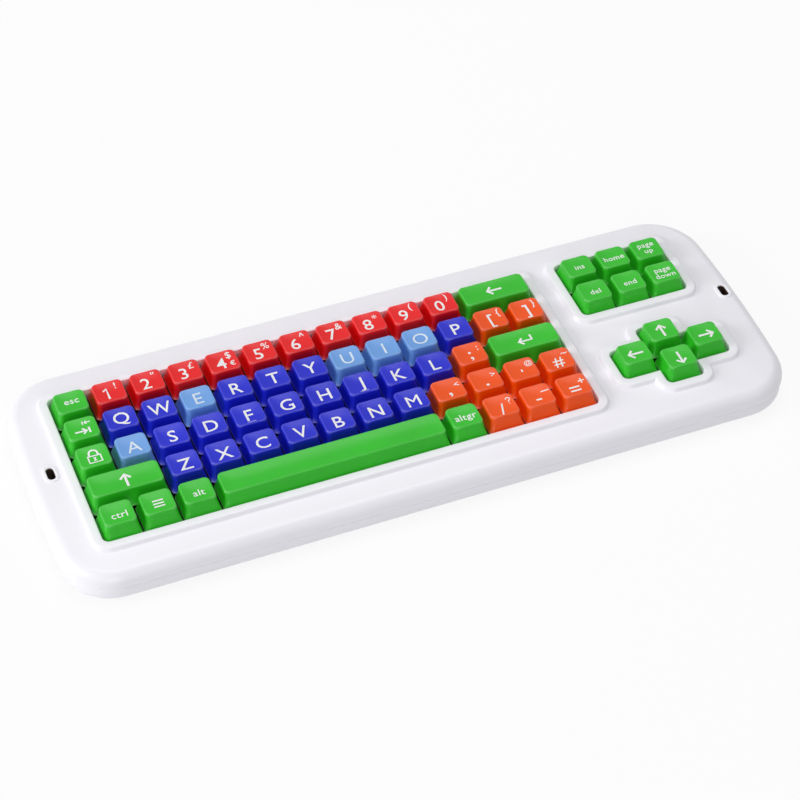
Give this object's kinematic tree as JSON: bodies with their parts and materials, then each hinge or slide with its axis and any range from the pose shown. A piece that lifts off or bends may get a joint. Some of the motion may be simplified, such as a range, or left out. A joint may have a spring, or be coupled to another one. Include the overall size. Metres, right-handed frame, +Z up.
{
  "type": "children's computer keyboard",
  "caption": "Free-standing computer keyboard for small hands: a white rounded case with raised rims round its wells, large coloured sprung keys, and tilt legs and a cell door below.",
  "frame": {"origin": "on the table, below the middle of the case", "axes": "+X to the right along the key rows, +Y to the back, +Z up"},
  "size_m": [0.486, 0.178, 0.0315],
  "materials": {
    "case_white": "glossy moulded plastic",
    "key_green": "glossy moulded plastic",
    "key_red": "glossy moulded plastic",
    "key_orange": "glossy moulded plastic",
    "key_dark_blue": "glossy moulded plastic",
    "key_light_blue": "glossy moulded plastic",
    "plate_dark": "fine moulded texture",
    "mat_rubber": "matt silicone",
    "board_laminate": "coated laminate",
    "bright_steel": "plated",
    "cell_jacket": "printed jacket",
    "slider_dark": "fine moulded texture",
    "foot_rubber": "matt rubber"
  },
  "bodies": {
    "case": {"top_case": "case_white", "bottom_case": "case_white", "key_plate": "plate_dark", "contact_mat": "mat_rubber", "circuit_board": "board_laminate", "radio_module": "bright_steel", "battery_cell": "cell_jacket", "battery_contacts": "bright_steel", "rubber_feet": "foot_rubber"},
    "key_escape": {"key_escape": "key_green"},
    "key_backspace": {"key_backspace": "key_green"},
    "key_tab": {"key_tab": "key_green"},
    "key_lock": {"key_lock": "key_green"},
    "key_enter": {"key_enter": "key_green"},
    "key_shift": {"key_shift": "key_green"},
    "key_control": {"key_control": "key_green"},
    "key_command": {"key_command": "key_green"},
    "key_alternate": {"key_alternate": "key_green"},
    "key_space": {"key_space": "key_green"},
    "key_alternate_right": {"key_alternate_right": "key_green"},
    "key_arrow_up": {"key_arrow_up": "key_green"},
    "key_arrow_left": {"key_arrow_left": "key_green"},
    "key_arrow_down": {"key_arrow_down": "key_green"},
    "key_arrow_right": {"key_arrow_right": "key_green"},
    "key_letter_a": {"key_letter_a": "key_light_blue"},
    "key_letter_b": {"key_letter_b": "key_dark_blue"},
    "key_letter_c": {"key_letter_c": "key_dark_blue"},
    "key_letter_d": {"key_letter_d": "key_dark_blue"},
    "key_letter_e": {"key_letter_e": "key_light_blue"},
    "key_letter_f": {"key_letter_f": "key_dark_blue"},
    "key_letter_g": {"key_letter_g": "key_dark_blue"},
    "key_letter_h": {"key_letter_h": "key_dark_blue"},
    "key_letter_i": {"key_letter_i": "key_light_blue"},
    "key_letter_j": {"key_letter_j": "key_dark_blue"},
    "key_letter_k": {"key_letter_k": "key_dark_blue"},
    "key_letter_l": {"key_letter_l": "key_dark_blue"},
    "key_letter_m": {"key_letter_m": "key_dark_blue"},
    "key_letter_n": {"key_letter_n": "key_dark_blue"},
    "key_letter_o": {"key_letter_o": "key_light_blue"},
    "key_letter_p": {"key_letter_p": "key_dark_blue"},
    "key_letter_q": {"key_letter_q": "key_dark_blue"},
    "key_letter_r": {"key_letter_r": "key_dark_blue"},
    "key_letter_s": {"key_letter_s": "key_dark_blue"},
    "key_letter_t": {"key_letter_t": "key_dark_blue"},
    "key_letter_u": {"key_letter_u": "key_light_blue"},
    "key_letter_v": {"key_letter_v": "key_dark_blue"},
    "key_letter_w": {"key_letter_w": "key_dark_blue"},
    "key_letter_x": {"key_letter_x": "key_dark_blue"},
    "key_letter_y": {"key_letter_y": "key_dark_blue"},
    "key_letter_z": {"key_letter_z": "key_dark_blue"},
    "digit_keys": {"digit_keys": "key_red"},
    "sign_keys": {"sign_keys": "key_orange"},
    "paging_keys": {"paging_keys": "key_green"},
    "battery_door": {"battery_door": "case_white"},
    "power_slider": {"power_slider": "slider_dark"},
    "tilt_leg_left": {"tilt_leg_left": "case_white"},
    "tilt_leg_right": {"tilt_leg_right": "case_white"}
  },
  "joints": [
    {"name": "press_escape", "type": "slide", "parent": "case", "child": "key_escape", "axis": [0, 0, -1], "range_m": [0, 0.004], "stiffness_N_per_m": 150, "springref_m": -0.001},
    {"name": "press_backspace", "type": "slide", "parent": "case", "child": "key_backspace", "axis": [0, 0, -1], "range_m": [0, 0.004], "stiffness_N_per_m": 225, "springref_m": -0.001},
    {"name": "press_tab", "type": "slide", "parent": "case", "child": "key_tab", "axis": [0, 0, -1], "range_m": [0, 0.004], "stiffness_N_per_m": 150, "springref_m": -0.001},
    {"name": "press_lock", "type": "slide", "parent": "case", "child": "key_lock", "axis": [0, 0, -1], "range_m": [0, 0.004], "stiffness_N_per_m": 150, "springref_m": -0.001},
    {"name": "press_enter", "type": "slide", "parent": "case", "child": "key_enter", "axis": [0, 0, -1], "range_m": [0, 0.004], "stiffness_N_per_m": 225, "springref_m": -0.001},
    {"name": "press_shift", "type": "slide", "parent": "case", "child": "key_shift", "axis": [0, 0, -1], "range_m": [0, 0.004], "stiffness_N_per_m": 225, "springref_m": -0.001},
    {"name": "press_control", "type": "slide", "parent": "case", "child": "key_control", "axis": [0, 0, -1], "range_m": [0, 0.004], "stiffness_N_per_m": 150, "springref_m": -0.001},
    {"name": "press_command", "type": "slide", "parent": "case", "child": "key_command", "axis": [0, 0, -1], "range_m": [0, 0.004], "stiffness_N_per_m": 150, "springref_m": -0.001},
    {"name": "press_alternate", "type": "slide", "parent": "case", "child": "key_alternate", "axis": [0, 0, -1], "range_m": [0, 0.004], "stiffness_N_per_m": 150, "springref_m": -0.001},
    {"name": "press_space", "type": "slide", "parent": "case", "child": "key_space", "axis": [0, 0, -1], "range_m": [0, 0.004], "stiffness_N_per_m": 450, "springref_m": -0.001},
    {"name": "press_alternate_right", "type": "slide", "parent": "case", "child": "key_alternate_right", "axis": [0, 0, -1], "range_m": [0, 0.004], "stiffness_N_per_m": 150, "springref_m": -0.001},
    {"name": "press_arrow_up", "type": "slide", "parent": "case", "child": "key_arrow_up", "axis": [0, 0, -1], "range_m": [0, 0.004], "stiffness_N_per_m": 150, "springref_m": -0.001},
    {"name": "press_arrow_left", "type": "slide", "parent": "case", "child": "key_arrow_left", "axis": [0, 0, -1], "range_m": [0, 0.004], "stiffness_N_per_m": 150, "springref_m": -0.001},
    {"name": "press_arrow_down", "type": "slide", "parent": "case", "child": "key_arrow_down", "axis": [0, 0, -1], "range_m": [0, 0.004], "stiffness_N_per_m": 150, "springref_m": -0.001},
    {"name": "press_arrow_right", "type": "slide", "parent": "case", "child": "key_arrow_right", "axis": [0, 0, -1], "range_m": [0, 0.004], "stiffness_N_per_m": 150, "springref_m": -0.001},
    {"name": "press_letter_a", "type": "slide", "parent": "case", "child": "key_letter_a", "axis": [0, 0, -1], "range_m": [0, 0.004], "stiffness_N_per_m": 150, "springref_m": -0.001},
    {"name": "press_letter_b", "type": "slide", "parent": "case", "child": "key_letter_b", "axis": [0, 0, -1], "range_m": [0, 0.004], "stiffness_N_per_m": 150, "springref_m": -0.001},
    {"name": "press_letter_c", "type": "slide", "parent": "case", "child": "key_letter_c", "axis": [0, 0, -1], "range_m": [0, 0.004], "stiffness_N_per_m": 150, "springref_m": -0.001},
    {"name": "press_letter_d", "type": "slide", "parent": "case", "child": "key_letter_d", "axis": [0, 0, -1], "range_m": [0, 0.004], "stiffness_N_per_m": 150, "springref_m": -0.001},
    {"name": "press_letter_e", "type": "slide", "parent": "case", "child": "key_letter_e", "axis": [0, 0, -1], "range_m": [0, 0.004], "stiffness_N_per_m": 150, "springref_m": -0.001},
    {"name": "press_letter_f", "type": "slide", "parent": "case", "child": "key_letter_f", "axis": [0, 0, -1], "range_m": [0, 0.004], "stiffness_N_per_m": 150, "springref_m": -0.001},
    {"name": "press_letter_g", "type": "slide", "parent": "case", "child": "key_letter_g", "axis": [0, 0, -1], "range_m": [0, 0.004], "stiffness_N_per_m": 150, "springref_m": -0.001},
    {"name": "press_letter_h", "type": "slide", "parent": "case", "child": "key_letter_h", "axis": [0, 0, -1], "range_m": [0, 0.004], "stiffness_N_per_m": 150, "springref_m": -0.001},
    {"name": "press_letter_i", "type": "slide", "parent": "case", "child": "key_letter_i", "axis": [0, 0, -1], "range_m": [0, 0.004], "stiffness_N_per_m": 150, "springref_m": -0.001},
    {"name": "press_letter_j", "type": "slide", "parent": "case", "child": "key_letter_j", "axis": [0, 0, -1], "range_m": [0, 0.004], "stiffness_N_per_m": 150, "springref_m": -0.001},
    {"name": "press_letter_k", "type": "slide", "parent": "case", "child": "key_letter_k", "axis": [0, 0, -1], "range_m": [0, 0.004], "stiffness_N_per_m": 150, "springref_m": -0.001},
    {"name": "press_letter_l", "type": "slide", "parent": "case", "child": "key_letter_l", "axis": [0, 0, -1], "range_m": [0, 0.004], "stiffness_N_per_m": 150, "springref_m": -0.001},
    {"name": "press_letter_m", "type": "slide", "parent": "case", "child": "key_letter_m", "axis": [0, 0, -1], "range_m": [0, 0.004], "stiffness_N_per_m": 150, "springref_m": -0.001},
    {"name": "press_letter_n", "type": "slide", "parent": "case", "child": "key_letter_n", "axis": [0, 0, -1], "range_m": [0, 0.004], "stiffness_N_per_m": 150, "springref_m": -0.001},
    {"name": "press_letter_o", "type": "slide", "parent": "case", "child": "key_letter_o", "axis": [0, 0, -1], "range_m": [0, 0.004], "stiffness_N_per_m": 150, "springref_m": -0.001},
    {"name": "press_letter_p", "type": "slide", "parent": "case", "child": "key_letter_p", "axis": [0, 0, -1], "range_m": [0, 0.004], "stiffness_N_per_m": 150, "springref_m": -0.001},
    {"name": "press_letter_q", "type": "slide", "parent": "case", "child": "key_letter_q", "axis": [0, 0, -1], "range_m": [0, 0.004], "stiffness_N_per_m": 150, "springref_m": -0.001},
    {"name": "press_letter_r", "type": "slide", "parent": "case", "child": "key_letter_r", "axis": [0, 0, -1], "range_m": [0, 0.004], "stiffness_N_per_m": 150, "springref_m": -0.001},
    {"name": "press_letter_s", "type": "slide", "parent": "case", "child": "key_letter_s", "axis": [0, 0, -1], "range_m": [0, 0.004], "stiffness_N_per_m": 150, "springref_m": -0.001},
    {"name": "press_letter_t", "type": "slide", "parent": "case", "child": "key_letter_t", "axis": [0, 0, -1], "range_m": [0, 0.004], "stiffness_N_per_m": 150, "springref_m": -0.001},
    {"name": "press_letter_u", "type": "slide", "parent": "case", "child": "key_letter_u", "axis": [0, 0, -1], "range_m": [0, 0.004], "stiffness_N_per_m": 150, "springref_m": -0.001},
    {"name": "press_letter_v", "type": "slide", "parent": "case", "child": "key_letter_v", "axis": [0, 0, -1], "range_m": [0, 0.004], "stiffness_N_per_m": 150, "springref_m": -0.001},
    {"name": "press_letter_w", "type": "slide", "parent": "case", "child": "key_letter_w", "axis": [0, 0, -1], "range_m": [0, 0.004], "stiffness_N_per_m": 150, "springref_m": -0.001},
    {"name": "press_letter_x", "type": "slide", "parent": "case", "child": "key_letter_x", "axis": [0, 0, -1], "range_m": [0, 0.004], "stiffness_N_per_m": 150, "springref_m": -0.001},
    {"name": "press_letter_y", "type": "slide", "parent": "case", "child": "key_letter_y", "axis": [0, 0, -1], "range_m": [0, 0.004], "stiffness_N_per_m": 150, "springref_m": -0.001},
    {"name": "press_letter_z", "type": "slide", "parent": "case", "child": "key_letter_z", "axis": [0, 0, -1], "range_m": [0, 0.004], "stiffness_N_per_m": 150, "springref_m": -0.001},
    {"name": "press_digit_keys", "type": "slide", "parent": "case", "child": "digit_keys", "axis": [0, 0, -1], "range_m": [0, 0.004], "stiffness_N_per_m": 1500, "springref_m": -0.001},
    {"name": "press_sign_keys", "type": "slide", "parent": "case", "child": "sign_keys", "axis": [0, 0, -1], "range_m": [0, 0.004], "stiffness_N_per_m": 1500, "springref_m": -0.001},
    {"name": "press_paging_keys", "type": "slide", "parent": "case", "child": "paging_keys", "axis": [0, 0, -1], "range_m": [0, 0.004], "stiffness_N_per_m": 900, "springref_m": -0.001},
    {"name": "door_swing", "type": "hinge", "parent": "case", "child": "battery_door", "pos_m": [0.124, 0.03365, 0.00215], "axis": [1, 0, 0], "range_deg": [0, 90]},
    {"name": "power_slide", "type": "slide", "parent": "case", "child": "power_slider", "axis": [1, 0, 0], "range_m": [0, 0.004]},
    {"name": "tilt_left", "type": "hinge", "parent": "case", "child": "tilt_leg_left", "pos_m": [-0.15, 0.0792, 0.0043], "axis": [1, 0, 0], "range_deg": [0, 95]},
    {"name": "tilt_right", "type": "hinge", "parent": "case", "child": "tilt_leg_right", "pos_m": [0.15, 0.0792, 0.0043], "axis": [1, 0, 0], "range_deg": [0, 95]}
  ]
}
